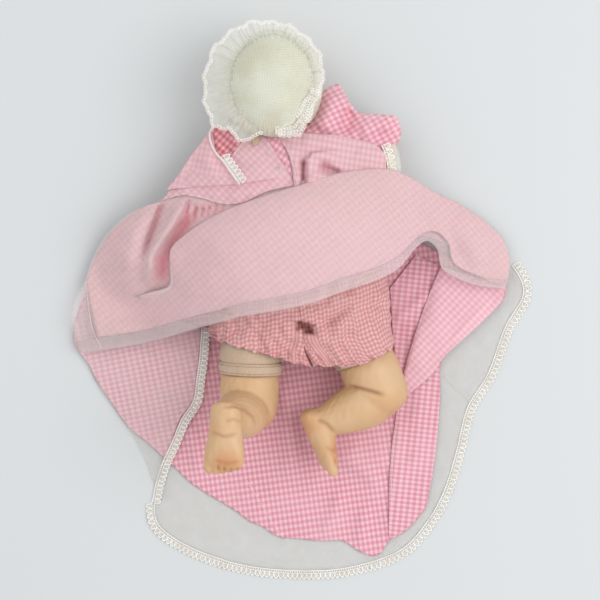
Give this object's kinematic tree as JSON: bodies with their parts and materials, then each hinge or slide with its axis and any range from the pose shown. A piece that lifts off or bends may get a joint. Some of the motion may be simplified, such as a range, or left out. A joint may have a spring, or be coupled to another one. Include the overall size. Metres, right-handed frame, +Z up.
{
  "type": "baby doll",
  "caption": "Soft-bodied baby doll lying face down in a gingham dress with an organdie overskirt, bloomers and a ruffled bonnet; head, eyes, arms and legs turn.",
  "frame": {"origin": "on the surface it lies on, under the hips, in the flat underside of the overskirt front", "axes": "+Z up from the surface towards the doll's back, +Y towards the head, +X towards the doll's right side"},
  "size_m": [0.4585, 0.542, 0.1139],
  "materials": {
    "vinyl": "soft satin vinyl",
    "muslin": "plain woven cotton",
    "stuffing": "loose fibre",
    "gingham": "woven pink and white check",
    "organdie": "crisp sheer cotton",
    "lace": "cotton lace",
    "pique": "waffle weave",
    "elastic": "woven elastic",
    "eye": "gloss",
    "lead": "dull metal",
    "snap_metal": "bright metal"
  },
  "bodies": {
    "doll_body": {"torso_back": "muslin", "torso_front": "muslin", "neck_casing": "muslin", "torso_stuffing": "stuffing", "bloomers_left": "gingham", "bloomers_right": "gingham", "skirt_front": "gingham", "skirt_left_panel": "gingham", "skirt_right_panel": "gingham", "skirt_back": "gingham", "bodice_back_left": "gingham", "bodice_back_right": "gingham", "sleeve_left": "gingham", "sleeve_right": "gingham", "bodice_front": "gingham", "overskirt_front": "organdie", "overskirt_left_panel": "organdie", "overskirt_back": "organdie", "overskirt_hem_lace": "lace", "overskirt_left_lace": "lace", "sleeve_left_lace": "lace", "sleeve_right_lace": "lace", "bloomers_waist_elastic": "elastic", "back_snap_upper": "snap_metal", "back_snap_lower": "snap_metal"},
    "head": {"head_shell": "vinyl", "eye_cradle": "snap_metal", "bonnet_crown": "pique", "bonnet_band": "pique", "bonnet_ruffle": "lace", "bonnet_chin_tie": "pique"},
    "eyes": {"eye_left": "eye", "eye_right": "eye", "eye_rocker": "lead"},
    "left_arm": {"left_upper_arm": "muslin", "left_arm_casing": "muslin"},
    "left_hand": {"left_forearm": "vinyl"},
    "right_arm": {"right_upper_arm": "muslin", "right_arm_casing": "muslin"},
    "right_hand": {"right_forearm": "vinyl"},
    "left_hip_and_thigh": {"left_thigh": "muslin", "left_thigh_casing": "muslin", "bloomers_left_elastic": "elastic"},
    "left_foot": {"left_leg": "vinyl"},
    "right_hip_and_thigh": {"right_thigh": "muslin", "right_thigh_casing": "muslin", "bloomers_right_elastic": "elastic"},
    "right_foot": {"right_leg": "vinyl"}
  },
  "joints": [
    {"name": "head_turn", "type": "hinge", "parent": "doll_body", "child": "head", "pos_m": [-0.02623, 0.1469, 0.048], "axis": [0, 1, 0], "range_deg": [-15, 8]},
    {"name": "eye_rock", "type": "hinge", "parent": "head", "child": "eyes", "pos_m": [-0.02623, 0.2049, 0.01796], "axis": [1, 0, 0], "range_deg": [-50, 0]},
    {"name": "left_shoulder", "type": "hinge", "parent": "doll_body", "child": "left_arm", "pos_m": [-0.06515, 0.09252, 0.043], "axis": [0, 0, 1], "range_deg": [-12, 12]},
    {"name": "left_hand_turn", "type": "hinge", "parent": "left_arm", "child": "left_hand", "pos_m": [-0.10915, 0.08651, 0.031], "axis": [-0.6249, -0.7637, -0.162], "range_deg": [-25, 25]},
    {"name": "right_shoulder", "type": "hinge", "parent": "doll_body", "child": "right_arm", "pos_m": [0.02756, 0.10803, 0.043], "axis": [0, 0, 1], "range_deg": [-12, 12]},
    {"name": "right_hand_turn", "type": "hinge", "parent": "right_arm", "child": "right_hand", "pos_m": [0.07156, 0.11003, 0.031], "axis": [0.311, 0.9329, -0.1814], "range_deg": [-25, 25]},
    {"name": "left_hip", "type": "hinge", "parent": "doll_body", "child": "left_hip_and_thigh", "pos_m": [-0.047, -0.02, 0.039], "axis": [0, 0, 1], "range_deg": [-8, 2], "deforming": ["bloomers_left"]},
    {"name": "left_leg_turn", "type": "hinge", "parent": "left_hip_and_thigh", "child": "left_foot", "pos_m": [-0.047, -0.02, 0.039], "axis": [-0.0299, -0.9983, -0.0499], "range_deg": [-30, 40]},
    {"name": "right_hip", "type": "hinge", "parent": "doll_body", "child": "right_hip_and_thigh", "pos_m": [0.044, -0.013, 0.039], "axis": [0, 0, 1], "range_deg": [-3, 8], "deforming": ["bloomers_right"]},
    {"name": "right_leg_turn", "type": "hinge", "parent": "right_hip_and_thigh", "child": "right_foot", "pos_m": [0.044, -0.013, 0.039], "axis": [0.4019, -0.9143, -0.0502], "range_deg": [-80, 0]}
  ]
}
